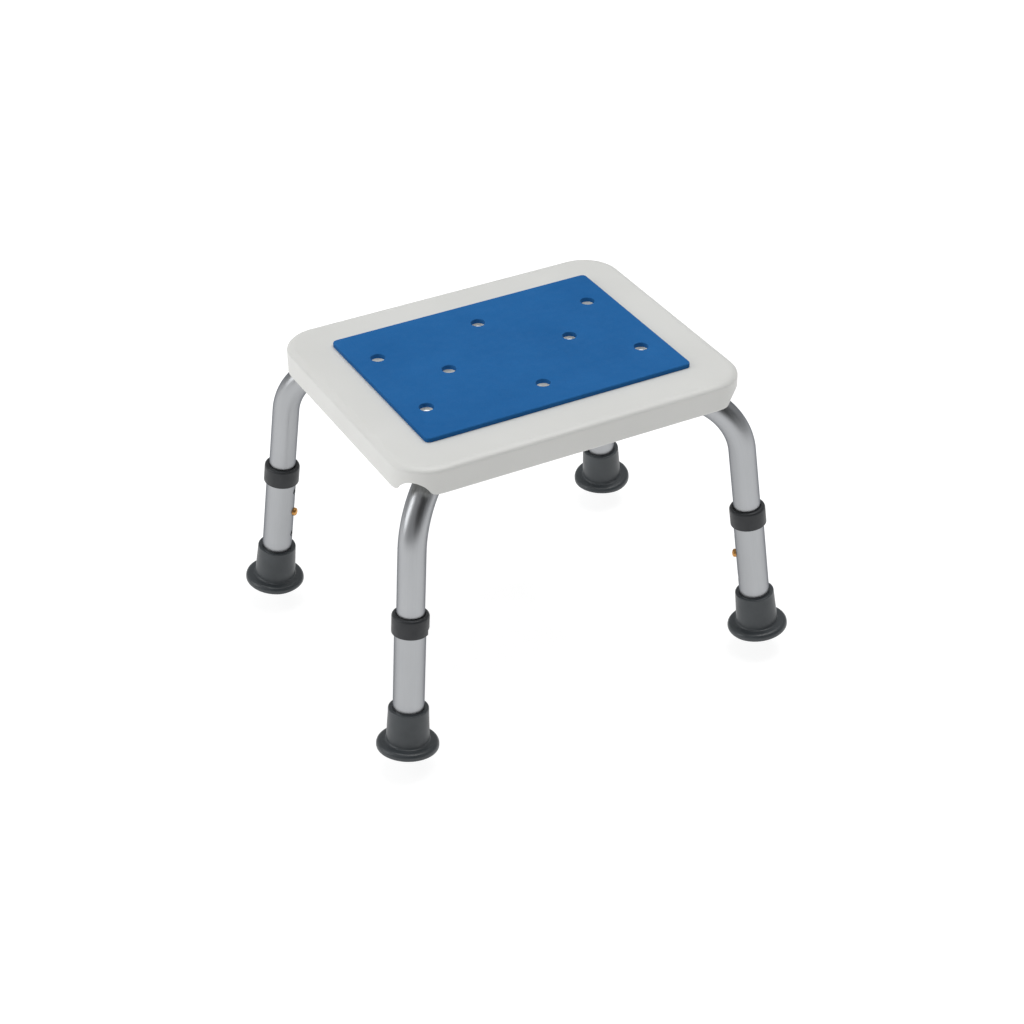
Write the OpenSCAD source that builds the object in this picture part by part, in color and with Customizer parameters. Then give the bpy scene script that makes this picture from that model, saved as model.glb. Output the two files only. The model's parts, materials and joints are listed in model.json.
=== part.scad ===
// Shower stool. A moulded seat with a foam pad sits on two bent tubes that cross under it, and
// each of the four splayed legs has a push-button extension tube and a wide rubber foot.
// Millimetres, +Z up, origin on the floor under the seat's centre. -Y is the front.

/* [Seat] */
// Length of the seat, along X
seat_length = 349; // [335:1:360]
// Depth of the seat, along Y
seat_depth = 280; // [270:1:295]
// Height of the seat's top face above the floor
seat_top_z = 278.3; // [277:0.1:282]
// Height of the seat's side wall
seat_height = 26; // [22:0.1:28]
// Corner radius in plan
seat_corner_r = 36.6; // [32:0.1:45]
// Radius of the roll between the top and the side
seat_roll_r = 5; // [4:0.5:9]
// Wall thickness of the moulding
seat_wall = 3.2; // [2.8:0.1:3.6]

/* [Seat pad and drain holes] */
// Length of the foam pad, along X
pad_length = 269.5; // [260:0.5:280]
// Depth of the foam pad, along Y
pad_depth = 196.6; // [190:0.1:205]
// Thickness of the foam pad
pad_thickness = 4.5; // [3:0.1:8]
// Diameter of the drain holes through the pad and the seat
drain_hole_d = 13.5; // [10:0.1:15]

/* [Cross tubes] */
// Outer diameter of the bent tubes
inner_tube_d = 25.4; // [25:0.1:25.6]
// Height of the centre line of the tubes' level stretch
level_tube_z = 252.9; // [251:0.1:253]
// Centre-line radius of the bends
bend_r = 60.8; // [56:0.1:66]
// Angle between each leg plane and the X axis
leg_azimuth = 38.45; // [37:0.05:40]
// Outward lean of the legs from vertical
leg_splay = 6.86; // [5:0.01:8]
// Distance from the middle to where a leg's axis meets the floor
leg_reach = 240.9; // [236:0.1:246]

/* [Adjustable legs] */
// Outer diameter of the extension tubes
outer_tube_d = 28.6; // [28.4:0.1:29]
// Distance between neighbouring adjustment holes
hole_pitch = 25; // [20:1:26]
// Position of the button along the leg axis, from the floor
button_at = 85.5; // [82:0.1:88]
// Diameter of the snap button
button_d = 8; // [6:0.1:8.2]
// How far the button stands out of the extension tube
button_proud = 3.8; // [2:0.1:4.5]
// Lower edge of the collar along the leg axis
collar_at = 120.5; // [118:0.1:124]
// Length of the collar
collar_height = 19; // [14:0.5:22]
// Outer diameter of the collar
collar_d = 33.9; // [33:0.1:36]

/* [Feet] */
// Diameter of the foot's flange
foot_flange_d = 57.4; // [50:0.1:62]
// Thickness of the flange
foot_flange_h = 7; // [6.5:0.1:9]
// Top edge of the foot along the leg axis
foot_top_at = 42.3; // [38:0.1:45]
// How far the sole's inner edge is pressed flat by the floor
sole_squash = 2.4; // [1:0.1:3.2]

/* [Hidden] */
$fn = 96;
eps = 0.5;                               // how far a cutter runs past the face it opens

// Azimuth of each leg
FRONT_LEFT = 180 + leg_azimuth;
FRONT_RIGHT = -leg_azimuth;
BACK_LEFT = 180 - leg_azimuth;
BACK_RIGHT = leg_azimuth;
DIAGONALS = [FRONT_LEFT, FRONT_RIGHT, BACK_LEFT, BACK_RIGHT];

// Seat
seat_bottom_z = seat_top_z - seat_height;
plate_z = seat_top_z - seat_wall;        // underside of the seat's top plate
rib_t = 2;
rib_depth = 8;
rib_x = [31, 86, 135];                   // ribs along Y, on both sides of the middle
rib_y = [30, 90];                        // ribs along X, on both sides of the middle
channel_gap = 0.6;                       // between a tube and the ribs beside it
channel_t = 2.5;
channel_from = 50;                       // where the channel ribs start and end, from the middle
channel_to = 150;
channel_bottom_z = 256.5;
notch_r = 16.5;                          // arch over each leg
notch_apex = 12;
notch_lip_r = 8;
notch_length = 20;                       // the notch cuts only the corner's skirt

// Drain holes: pairs mirrored in X, in Y, or in both
hole_side = [110.4, 49.5];
hole_front = [0, 63];
hole_middle = [62.7, 0];
pad_corner_r = 5;

// Cross tubes
inner_tube_r = inner_tube_d / 2;
inner_tube_wall = 1.5;
inner_tube_end = 45;                     // lower end along the leg axis
bend_z = level_tube_z - bend_r;
bend_at = leg_reach - (bend_r + bend_z * sin(leg_splay)) / cos(leg_splay);
bend_end = bend_z * cos(leg_splay) + (leg_reach - bend_at) * sin(leg_splay);
bend_overlap = 0.5;
bend_swell = 0.1;
dent_half = 19;                          // half length of the half-round stretch at the crossing

// Fasteners
bolt_r = 3;
bolt_head_r = 5.7;
bolt_head_h = 4;
nut_h = 5;
centre_washer_r = 9;
screw_at = 98;                           // distance of the seat screws from the middle
screw_r = 2.45;
screw_head_r = 4.75;
screw_head_h = 3.4;
saddle_r = 7.5;
saddle_h = 1.6;                          // from a head or nut to the crown of the tube
boss_r = 7;
insert_r = 3.3;
insert_h = 8;
insert_z = plate_z - 1 - insert_h;

// Legs
outer_tube_r = outer_tube_d / 2;
outer_bore_r = outer_tube_r - 1.2;
hole_r = button_d / 2 + 0.2;
collar_lip_h = 4;
collar_lip_r = inner_tube_r + 0.3;
collar_round = 3;
collar_slot = [11, 5];                   // width and height of the slot in the lower edge
collar_slot_turn = 113;                  // from the outward side; two collars have it mirrored
button_tip = outer_tube_r + button_proud;
strip_face = 10.3;                       // the spring strip's outer face, from the leg axis
strip_t = 0.8;
strip_w = 8;                             // the rivet hole leaves metal on both sides
strip_below = 9;                         // strip past the button's centre, downwards
strip_above = 26;                        // and upwards to the bend
rivet_r = 1.8;
rivet_head_r = 3;
rivet_head_h = 1;

// Feet
foot_flange_r = foot_flange_d / 2;
sole_at = (foot_flange_r * sin(leg_splay) - sole_squash) / cos(leg_splay);
foot_disc_h = 1.5;
foot_seat_at = sole_at + foot_flange_h;  // where the extension tube stands on its disc
neck_top_r = 18.5;
neck_bottom_r = 19.8;
fillet_r = 2.2;
flange_edge_r = 4.6;
sole_groove_w = 3;
sole_groove_depth = 1.5;
sole_grooves = [8, 15];                  // inner radii of the rings in the sole

SEAT_WHITE = [0.85, 0.85, 0.84];
PAD_BLUE = [0.17, 0.40, 0.64];
ALUMINIUM = [0.69, 0.70, 0.72];
STEEL = [0.55, 0.56, 0.58];
BRASS = [0.72, 0.52, 0.30];
COLLAR_GREY = [0.23, 0.24, 0.26];
RUBBER_GREY = [0.27, 0.30, 0.32];

// Points of an arc about a centre, from one angle to another
function arc(centre, r, from, to, steps = 10) =
    [for (i = [0:steps]) centre + r * [cos(from + (to - from) * i / steps),
                                       sin(from + (to - from) * i / steps)]];

// A leg's own frame: origin where its axis meets the floor, +Z up the leg, -X towards the middle
module on_leg(azimuth) {
    rotate([0, 0, azimuth])
        translate([leg_reach, 0, 0])
            rotate([0, -leg_splay, 0])
                children();
}

// A frame at a distance along a leg, whose +Z points inwards, square to the leg
module facing_inwards(azimuth, along) {
    on_leg(azimuth)
        translate([0, 0, along])
            rotate([0, -90, 0])
                children();
}

module at_drain_holes() {
    for (sx = [-1, 1]) {
        for (sy = [-1, 1])
            translate([sx * hole_side.x, sy * hole_side.y, 0]) children();
        translate([sx * hole_middle.x, 0, 0]) children();
        translate([0, sx * hole_front.y, 0]) children();
    }
}

// Rounded slab with vertical sides and a rolled top edge, from z = 0 up to height
module rolled_slab(length, depth, height, corner_r, roll_r) {
    straight_x = length - 2 * corner_r;
    straight_y = depth - 2 * corner_r;
    rotate([90, 0, 0])
        linear_extrude(straight_y, center = true) roll_profile(length / 2, height, roll_r);
    rotate([90, 0, 90])
        linear_extrude(straight_x, center = true) roll_profile(depth / 2, height, roll_r);
    for (sx = [-1, 1], sy = [-1, 1])
        translate([sx * straight_x / 2, sy * straight_y / 2, 0])
            rotate_extrude()
                intersection() {
                    roll_profile(corner_r, height, roll_r);
                    square([corner_r, height]);
                }
}

module roll_profile(half, height, roll_r) {
    straight = half - roll_r;
    translate([-half, 0]) square([2 * half, height - roll_r]);
    translate([-straight, 0]) square([2 * straight, height]);
    for (side = [-1, 1])
        translate([side * straight, height - roll_r]) circle(roll_r);
}

// Straight ribs under the top plate
module rib_grid() {
    inner_l = seat_length - seat_wall;
    inner_d = seat_depth - seat_wall;
    for (side = [-1, 1]) {
        for (x = rib_x)
            translate([side * x - rib_t / 2, -inner_d / 2, plate_z - rib_depth])
                cube([rib_t, inner_d, rib_depth + eps]);
        for (y = rib_y)
            translate([-inner_l / 2, side * y - rib_t / 2, plate_z - rib_depth])
                cube([inner_l, rib_t, rib_depth + eps]);
    }
}

// Pairs of ribs that hold each tube from both sides
module tube_channels() {
    inside = inner_tube_r + channel_gap;
    for (azimuth = DIAGONALS, side = [-1, 1])
        rotate([0, 0, azimuth])
            translate([channel_from, side * (inside + channel_t / 2) - channel_t / 2, channel_bottom_z])
                cube([channel_to - channel_from, channel_t, plate_z - channel_bottom_z + eps]);
}

// Arch with rounded lips, cut through the skirt over each leg
module corner_notch() {
    arch_y = notch_apex - notch_r;
    lip_x = sqrt(pow(notch_r + notch_lip_r, 2) - pow(notch_lip_r - arch_y, 2));
    meet = atan((notch_lip_r - arch_y) / lip_x);
    translate([seat_corner_r - notch_length / 2, 0, seat_bottom_z])
        rotate([90, 0, 90])
            linear_extrude(notch_length)
                polygon(concat([[lip_x, -eps]],
                               arc([lip_x, notch_lip_r], notch_lip_r, 255, 180 + meet, 6),
                               arc([0, arch_y], notch_r, meet, 180 - meet, 16),
                               arc([-lip_x, notch_lip_r], notch_lip_r, -meet, -75, 6),
                               [[-lip_x, -eps]]));
}

module seat() {
    color(SEAT_WHITE)
        difference() {
            union() {
                difference() {
                    translate([0, 0, seat_bottom_z])
                        rolled_slab(seat_length, seat_depth, seat_height, seat_corner_r, seat_roll_r);
                    translate([0, 0, seat_bottom_z - eps])
                        rolled_slab(seat_length - 2 * seat_wall, seat_depth - 2 * seat_wall,
                                    seat_height - seat_wall + eps, seat_corner_r - seat_wall,
                                    seat_roll_r - seat_wall);
                }
                rib_grid();
                tube_channels();
                for (azimuth = DIAGONALS)
                    rotate([0, 0, azimuth])
                        translate([screw_at, 0, level_tube_z])
                            cylinder(h = plate_z - level_tube_z + eps, r = boss_r);
            }
            for (azimuth = DIAGONALS)
                rotate([0, 0, azimuth]) {
                    translate([channel_from, 0, level_tube_z])
                        rotate([0, 90, 0]) cylinder(h = channel_to - channel_from, r = inner_tube_r);
                    translate([screw_at, 0, level_tube_z])
                        cylinder(h = insert_z + insert_h - level_tube_z, r = insert_r);
                }
            for (sx = [-1, 1], sy = [-1, 1])
                translate([sx * (seat_length / 2 - seat_corner_r), sy * (seat_depth / 2 - seat_corner_r), 0])
                    rotate([0, 0, atan2(sy, sx)]) corner_notch();
            translate([0, 0, plate_z - rib_depth - eps])
                at_drain_holes() cylinder(h = seat_wall + rib_depth + 2 * eps, r = drain_hole_d / 2);
        }
}

module seat_pad() {
    color(PAD_BLUE)
        translate([0, 0, seat_top_z])
            difference() {
                union() {
                    for (inset = [[0, pad_corner_r], [pad_corner_r, 0]])
                        translate([inset.x - pad_length / 2, inset.y - pad_depth / 2, 0])
                            cube([pad_length - 2 * inset.x, pad_depth - 2 * inset.y, pad_thickness]);
                    for (sx = [-1, 1], sy = [-1, 1])
                        translate([sx * (pad_length / 2 - pad_corner_r),
                                   sy * (pad_depth / 2 - pad_corner_r), 0])
                            cylinder(h = pad_thickness, r = pad_corner_r);
                }
                translate([0, 0, -eps])
                    at_drain_holes() cylinder(h = pad_thickness + 2 * eps, r = drain_hole_d / 2);
            }
}

// Bent tube of radius r along the X axis, from one leg's lower end to the other's. The straight
// stretches run a little way into the bends, which are a hair thicker.
module bent_rod(r, past_end = 0) {
    translate([-bend_at - bend_overlap, 0, level_tube_z])
        rotate([0, 90, 0]) cylinder(h = 2 * (bend_at + bend_overlap), r = r);
    for (turn = [0, 180])
        rotate([0, 0, turn]) {
            translate([bend_at, 0, bend_z])
                rotate([90, 0, 0])
                    rotate([0, 0, leg_splay])
                        rotate_extrude(angle = 90 - leg_splay)
                            translate([bend_r, 0]) circle(r + bend_swell);
            on_leg(0)
                translate([0, 0, inner_tube_end - past_end])
                    cylinder(h = bend_end - inner_tube_end + past_end + bend_overlap, r = r);
        }
}

// What the press takes out of the lower half of a tube's middle, grown by the tube's wall
module dent(grow) {
    half = dent_half + grow * tan(22.5);
    translate([0, 0, level_tube_z])
        rotate([90, 0, 0])
            linear_extrude(2 * inner_tube_d, center = true)
                polygon([[-half, grow], [half, grow],
                         [half + grow + inner_tube_d, -inner_tube_d],
                         [-half - grow - inner_tube_d, -inner_tube_d]]);
}

// Bent tube whose middle is pressed to a half round, so that two of them cross at one height
module cross_tube(azimuth, dent_up) {
    color(ALUMINIUM)
        difference() {
            rotate([0, 0, azimuth])
                difference() {
                    bent_rod(inner_tube_r);
                    flipped(dent_up) dent(0);
                    difference() {
                        bent_rod(inner_tube_r - inner_tube_wall, eps);
                        flipped(dent_up) dent(inner_tube_wall);
                    }
                    for (x = [-screw_at, screw_at])
                        translate([x, 0, level_tube_z - inner_tube_d])
                            cylinder(h = 2 * inner_tube_d, r = screw_r + 0.3);
                    translate([0, 0, level_tube_z - inner_tube_d])
                        cylinder(h = 2 * inner_tube_d, r = bolt_r + 0.25);
                }
            for (turn = [0, 180])
                facing_inwards(azimuth + turn, button_at) cylinder(h = inner_tube_d, r = hole_r);
        }
}

// Turns its children upside down about the level stretch's centre line
module flipped(yes) {
    translate([0, 0, yes ? 2 * level_tube_z : 0])
        mirror([0, 0, yes ? 1 : 0])
            children();
}

module upper_cross_tube() {
    cross_tube(BACK_RIGHT, false);
}

module lower_cross_tube() {
    cross_tube(FRONT_RIGHT, true);
}

module centre_bolt() {
    head_z = level_tube_z - inner_tube_r - saddle_h;
    color(STEEL) {
        translate([0, 0, head_z - bolt_head_h]) cylinder(h = bolt_head_h, r = bolt_head_r, $fn = 6);
        translate([0, 0, head_z])
            cylinder(h = 2 * (inner_tube_r + saddle_h) + nut_h + 1, r = bolt_r);
    }
}

// Washer hollowed to sit on the underside of a round tube that runs along X
module saddle_washer(outer_r, bore_r) {
    translate([0, 0, level_tube_z])
        difference() {
            translate([0, 0, -inner_tube_r - saddle_h]) cylinder(h = saddle_h + 2.5, r = outer_r);
            translate([-outer_r - eps, 0, 0])
                rotate([0, 90, 0]) cylinder(h = 2 * (outer_r + eps), r = inner_tube_r);
            translate([0, 0, -2 * inner_tube_r]) cylinder(h = inner_tube_d, r = bore_r);
        }
}

module centre_washers() {
    color(STEEL) {
        rotate([0, 0, FRONT_RIGHT]) saddle_washer(centre_washer_r, bolt_r + 0.2);
        rotate([0, 0, BACK_RIGHT]) flipped(true) saddle_washer(centre_washer_r, bolt_r + 0.2);
    }
}

module centre_nut() {
    color(STEEL)
        translate([0, 0, level_tube_z + inner_tube_r + saddle_h])
            difference() {
                union() {
                    cylinder(h = nut_h - 1.5, r = bolt_head_r, $fn = 6);
                    cylinder(h = nut_h, r = bolt_head_r - 1);
                }
                translate([0, 0, -eps]) cylinder(h = nut_h + 2 * eps, r = bolt_r);
            }
}

module seat_screws() {
    head_z = level_tube_z - inner_tube_r - saddle_h;
    color(STEEL)
        for (azimuth = DIAGONALS)
            rotate([0, 0, azimuth]) translate([screw_at, 0, head_z]) {
                translate([0, 0, -screw_head_h]) cylinder(h = screw_head_h, r = screw_head_r);
                cylinder(h = insert_z + insert_h - head_z, r = screw_r);
            }
}

module screw_washers() {
    color(STEEL)
        for (azimuth = DIAGONALS)
            rotate([0, 0, azimuth]) translate([screw_at, 0, 0])
                saddle_washer(saddle_r, screw_r + 0.2);
}

module threaded_inserts() {
    color(BRASS)
        for (azimuth = DIAGONALS)
            rotate([0, 0, azimuth]) translate([screw_at, 0, insert_z])
                difference() {
                    cylinder(h = insert_h, r = insert_r);
                    translate([0, 0, -eps]) cylinder(h = insert_h + 2 * eps, r = screw_r + 0.05);
                }
}

// Plastic end sleeve: grips the extension tube and guides the tube inside it
module collar(azimuth, slot_turn) {
    r = collar_d / 2;
    color(COLLAR_GREY)
        on_leg(azimuth)
            translate([0, 0, collar_at])
                difference() {
                    rotate_extrude()
                        polygon(concat([[outer_tube_r, 0], [r, 0]],
                                       arc([r - collar_round, collar_height - collar_round],
                                           collar_round, 0, 90, 6),
                                       [[collar_lip_r, collar_height],
                                        [collar_lip_r, collar_height - collar_lip_h],
                                        [outer_tube_r, collar_height - collar_lip_h]]));
                    rotate([0, 0, slot_turn])
                        translate([0, -collar_slot.x / 2, -eps])
                            cube([collar_d, collar_slot.x, collar_slot.y + eps]);
                }
}

module extension_tube(azimuth) {
    top = collar_at + collar_height - collar_lip_h;
    color(ALUMINIUM)
        difference() {
            on_leg(azimuth)
                translate([0, 0, foot_seat_at])
                    difference() {
                        cylinder(h = top - foot_seat_at, r = outer_tube_r);
                        translate([0, 0, -eps])
                            cylinder(h = top - foot_seat_at + 2 * eps, r = outer_bore_r);
                    }
            for (step = [-1:1])
                facing_inwards(azimuth, button_at + step * hole_pitch)
                    cylinder(h = outer_tube_d, r = hole_r);
        }
}

// Rubber ferrule with a wide flange, its sole pressed flat where it meets the floor
module foot(azimuth) {
    flange_top = sole_at + foot_flange_h;
    tall = 2 * foot_top_at;
    color(RUBBER_GREY)
        intersection() {
            on_leg(azimuth)
                difference() {
                    rotate_extrude()
                        polygon(concat(
                            [[0, sole_at]],
                            arc([foot_flange_r - 1.2, sole_at + 1.2], 1.2, -90, 0, 4),
                            arc([foot_flange_r - flange_edge_r, flange_top - flange_edge_r],
                                flange_edge_r, 0, 80, 6),
                            arc([neck_bottom_r + fillet_r, flange_top + fillet_r + 0.4],
                                fillet_r, 260, 180, 8),
                            arc([neck_top_r - 1.2, foot_top_at - 1.2], 1.2, 0, 90, 4),
                            [[0, foot_top_at]]));
                    translate([0, 0, foot_seat_at - foot_disc_h])
                        cylinder(h = foot_top_at, r = outer_tube_r);
                    for (r = sole_grooves)
                        translate([0, 0, sole_at - eps])
                            difference() {
                                cylinder(h = sole_groove_depth + eps, r = r + sole_groove_w);
                                cylinder(h = sole_groove_depth + eps, r = r);
                            }
                }
            rotate([0, 0, azimuth])
                translate([leg_reach - foot_flange_d, -foot_flange_d, 0])
                    cube([2 * foot_flange_d, 2 * foot_flange_d, tall]);
        }
}

// Steel disc that keeps the tube's end from cutting through the rubber
module foot_disc(azimuth) {
    color(STEEL)
        on_leg(azimuth)
            translate([0, 0, foot_seat_at - foot_disc_h])
                cylinder(h = foot_disc_h, r = outer_tube_r - 0.2);
}

module snap_button(azimuth) {
    r = button_d / 2;
    dome = 1.6;
    color(BRASS)
        facing_inwards(azimuth, button_at)
            rotate_extrude()
                polygon(concat([[0, strip_face - strip_t - rivet_head_h],
                                [rivet_head_r, strip_face - strip_t - rivet_head_h],
                                [rivet_head_r, strip_face - strip_t],
                                [rivet_r, strip_face - strip_t],
                                [rivet_r, strip_face],
                                [r, strip_face]],
                               [for (a = [0:15:90]) [r * cos(a), button_tip - dome + dome * sin(a)]]));
}

// Hairpin of spring strip inside the tube: the button is riveted to one arm
module button_spring(azimuth) {
    color(STEEL)
        on_leg(azimuth)
            translate([0, 0, button_at])
                difference() {
                    rotate([90, 0, 0])
                        linear_extrude(strip_w, center = true) {
                            for (side = [-1, 1])
                                translate([side * (strip_face - strip_t / 2) - strip_t / 2, -strip_below])
                                    square([strip_t, strip_below + strip_above]);
                            translate([0, strip_above])
                                difference() {
                                    circle(strip_face);
                                    circle(strip_face - strip_t);
                                    translate([-2 * strip_face, -4 * strip_face])
                                        square(4 * strip_face);
                                }
                        }
                    rotate([0, -90, 0]) cylinder(h = strip_face + eps, r = rivet_r + 0.05);
                }
}

seat();
seat_pad();
upper_cross_tube();
lower_cross_tube();
centre_bolt();
centre_washers();
centre_nut();
seat_screws();
screw_washers();
threaded_inserts();
collar(FRONT_LEFT, collar_slot_turn);  // collar_front_left
collar(FRONT_RIGHT, collar_slot_turn);  // collar_front_right
collar(BACK_LEFT, -collar_slot_turn);  // collar_back_left
collar(BACK_RIGHT, -collar_slot_turn);  // collar_back_right
extension_tube(FRONT_LEFT);  // extension_tube_front_left
extension_tube(FRONT_RIGHT);  // extension_tube_front_right
extension_tube(BACK_LEFT);  // extension_tube_back_left
extension_tube(BACK_RIGHT);  // extension_tube_back_right
foot(FRONT_LEFT);  // foot_front_left
foot(FRONT_RIGHT);  // foot_front_right
foot(BACK_LEFT);  // foot_back_left
foot(BACK_RIGHT);  // foot_back_right
foot_disc(FRONT_LEFT);  // foot_disc_front_left
foot_disc(FRONT_RIGHT);  // foot_disc_front_right
foot_disc(BACK_LEFT);  // foot_disc_back_left
foot_disc(BACK_RIGHT);  // foot_disc_back_right
snap_button(FRONT_LEFT);  // snap_button_front_left
snap_button(FRONT_RIGHT);  // snap_button_front_right
snap_button(BACK_LEFT);  // snap_button_back_left
snap_button(BACK_RIGHT);  // snap_button_back_right
button_spring(FRONT_LEFT);  // button_spring_front_left
button_spring(FRONT_RIGHT);  // button_spring_front_right
button_spring(BACK_LEFT);  // button_spring_back_left
button_spring(BACK_RIGHT);  // button_spring_back_right
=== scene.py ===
"""Looks of the shower stool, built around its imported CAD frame.

Pieces are modelled in millimetres in their own frame and placed in metres. Places come from the
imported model; the sizes below are those that a box can't give, such as radii and wall thicknesses.
"""

import json
import math

import bmesh
import bpy
import numpy as np
from mathutils import Matrix, Vector


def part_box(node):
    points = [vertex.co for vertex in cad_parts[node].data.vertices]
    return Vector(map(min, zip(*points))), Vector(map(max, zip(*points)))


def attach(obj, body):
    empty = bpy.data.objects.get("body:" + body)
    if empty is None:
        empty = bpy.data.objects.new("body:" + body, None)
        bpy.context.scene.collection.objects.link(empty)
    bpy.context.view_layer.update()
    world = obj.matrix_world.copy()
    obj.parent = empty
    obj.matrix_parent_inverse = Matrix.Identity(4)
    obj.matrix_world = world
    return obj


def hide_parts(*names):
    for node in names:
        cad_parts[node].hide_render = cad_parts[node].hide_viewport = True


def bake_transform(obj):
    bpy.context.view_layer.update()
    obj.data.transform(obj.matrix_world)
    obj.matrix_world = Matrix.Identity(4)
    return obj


MM = 0.001
LEGS = ("front_left", "front_right", "back_left", "back_right")

# Mesh making
GUARD = 0.8                              # from a rounded edge to the ring that keeps the flat beside it flat
CAP_INSET = 2.5                          # from a rounded edge to the ring where its flat face is capped
OVERCUT = 1                              # how far a cutter or a rib runs past the face it crosses
HAIR = 0.02                              # gap that keeps surfaces from coinciding
MERGE_DISTANCE = 1e-4
SHARP_ANGLE = 32

# Seat and pad
SEAT_CORNER_R = 36.6
SEAT_ROLL_ACROSS, SEAT_ROLL_DOWN = 8, 4.6
SEAT_WALL = 3.2
SEAT_INNER_ROLL_R = 2
SEAT_RIM_R = 1.1
PAD_CORNER_R = 5
PAD_EDGE_R = 1.3
PAD_BOTTOM_R = 0.3
DRAIN_HOLE_R = 6.75
DRAIN_HOLES = ((110.4, 49.5), (110.4, -49.5), (-110.4, 49.5), (-110.4, -49.5),
               (62.7, 0), (-62.7, 0), (0, 63), (0, -63))
SEAT_HOLE_FLARE = 0.5
PAD_HOLE_FLARE = 0.7
RIB_X = (31, 86, 135)
RIB_Y = (30, 90)
RIB_T = 2
RIB_DEPTH = 8
CHANNEL_FROM, CHANNEL_TO = 50, 150
CHANNEL_GAP = 0.6
CHANNEL_T = 2.5
CHANNEL_DEPTH = 18.6                     # from the plate's underside to the channel's lower edge
SCREW_AT = 98
BOSS_R = 7
INSERT_R = 3.3
INSERT_ROOF = 1                          # solid boss between an insert's hole and the plate
NOTCH_R = 16.5
NOTCH_APEX = 12
NOTCH_LIP_R = 8
NOTCH_LIP_START = 8                      # angle at which a lip's arc leaves the seat's bottom
NOTCH_CUT = 20

# Tubes
INNER_TUBE_R = 12.7
INNER_TUBE_WALL = 1.5
INNER_TUBE_END = 45
BEND_R = 60.8
DENT_HALF = 19
DENT_SLOPE = 45
SCREW_HOLE_R = 2.75
BOLT_HOLE_R = 3.25
OUTER_TUBE_R = 14.3
OUTER_TUBE_WALL = 1.2
OUTER_TUBE_EASE = 0.25
HOLE_PITCH = 25
HOLE_R = 4.2
HOLE_FLARE = 0.3

# Snap buttons and their springs
BUTTON_R = 4
DOME_H = 2.2
RIVET_R = 1.8
RIVET_HEAD_R, RIVET_HEAD_H = 3, 1
RIVET_HEAD_EASE = 0.3
SPRING_FACE = 10.3
SPRING_T = 0.8
SPRING_W = 8
SPRING_BELOW, SPRING_ABOVE = 9, 26
SPRING_STILL, SPRING_MOVED = 0.6, -0.85  # where the strip's bending would start and end, as shares of its half width

# Collars and feet
COLLAR_R = 16.95
COLLAR_LIP_R = 13.0
COLLAR_LIP_H = 4
COLLAR_SHOULDER_R = 3
COLLAR_BORE_EASE = 0.3
COLLAR_RIM_R = 0.5
COLLAR_MOUTH_R = 0.7
COLLAR_SLOT_W, COLLAR_SLOT_H, COLLAR_SLOT_R = 11, 5, 1
COLLAR_SLOT_TURN = 113
FLANGE_R = 28.7
FLANGE_H = 7
FLANGE_EDGE_R = 4.2
SOLE_EDGE_R = 1.4
ROOT_FILLET_R = 2
ROOT_BEAD_H = 0.3
NECK_TOP_R = 18.5
NECK_BOTTOM_R = 19.8
NECK_EDGE_R = 1.1
MOUTH_EDGE_R = 0.7
SOLE_GROOVES = (8, 15)
SOLE_GROOVE_W = 3
SOLE_GROOVE_DEPTH = 1.5
SOLE_GROOVE_R = 0.5

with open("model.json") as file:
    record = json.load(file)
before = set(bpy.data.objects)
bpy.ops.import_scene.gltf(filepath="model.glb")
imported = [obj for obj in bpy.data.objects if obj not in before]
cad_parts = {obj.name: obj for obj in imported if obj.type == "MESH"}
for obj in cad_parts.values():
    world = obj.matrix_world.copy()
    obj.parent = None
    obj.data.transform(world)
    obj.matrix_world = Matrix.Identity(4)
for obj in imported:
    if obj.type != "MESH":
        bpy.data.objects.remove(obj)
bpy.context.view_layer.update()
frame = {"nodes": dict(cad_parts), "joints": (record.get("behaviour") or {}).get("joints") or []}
scene = bpy.context.scene
JOINTS = {joint["name"]: joint for joint in frame["joints"]}


# ---------------------------------------------------------------- frames

def leg_frame(leg):
    """A leg's own frame: origin where its axis meets the floor, +Z up the leg, +X outwards."""
    up = -Vector(JOINTS["leg_slide_" + leg]["axis"]).normalized()
    outward = Vector(JOINTS["button_press_" + leg]["axis"]).normalized()
    low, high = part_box("extension_tube_" + leg)
    middle = (low + high) / 2
    placed = Matrix((outward, up.cross(outward), up)).transposed().to_4x4()
    placed.translation = middle - up * (middle.z / up.z)
    return placed


def azimuth_of(leg):
    """Direction of a leg from the middle of the stool, in degrees."""
    foot_at = LEG_FRAMES[leg].translation
    return math.degrees(math.atan2(foot_at.y, foot_at.x))


def span(node, placed):
    """Lowest and highest coordinates of a CAD node in a frame, in millimetres."""
    back = np.array(placed.inverted())
    points = np.array([v.co for v in frame["nodes"][node].data.vertices], float)
    local = (points @ back[:3, :3].T + back[:3, 3]) / MM
    return local.min(0), local.max(0)


LEG_FRAMES = {leg: leg_frame(leg) for leg in LEGS}
BUTTON_AT = sum(end[2] for end in span("snap_button_front_left", LEG_FRAMES["front_left"])) / 2
TUBE_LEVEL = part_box("upper_cross_tube")[1].z / MM - INNER_TUBE_R


# ---------------------------------------------------------------- outlines

def arc(centre, r, start, end, steps):
    """Points of an arc, angles in degrees."""
    turns = [math.radians(start + (end - start) * i / steps) for i in range(steps + 1)]
    return [(centre[0] + r * math.cos(t), centre[1] + r * math.sin(t)) for t in turns]


def circle(centre, r, steps=48):
    return arc(centre, r, 0, 360, steps)[:-1]


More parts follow.
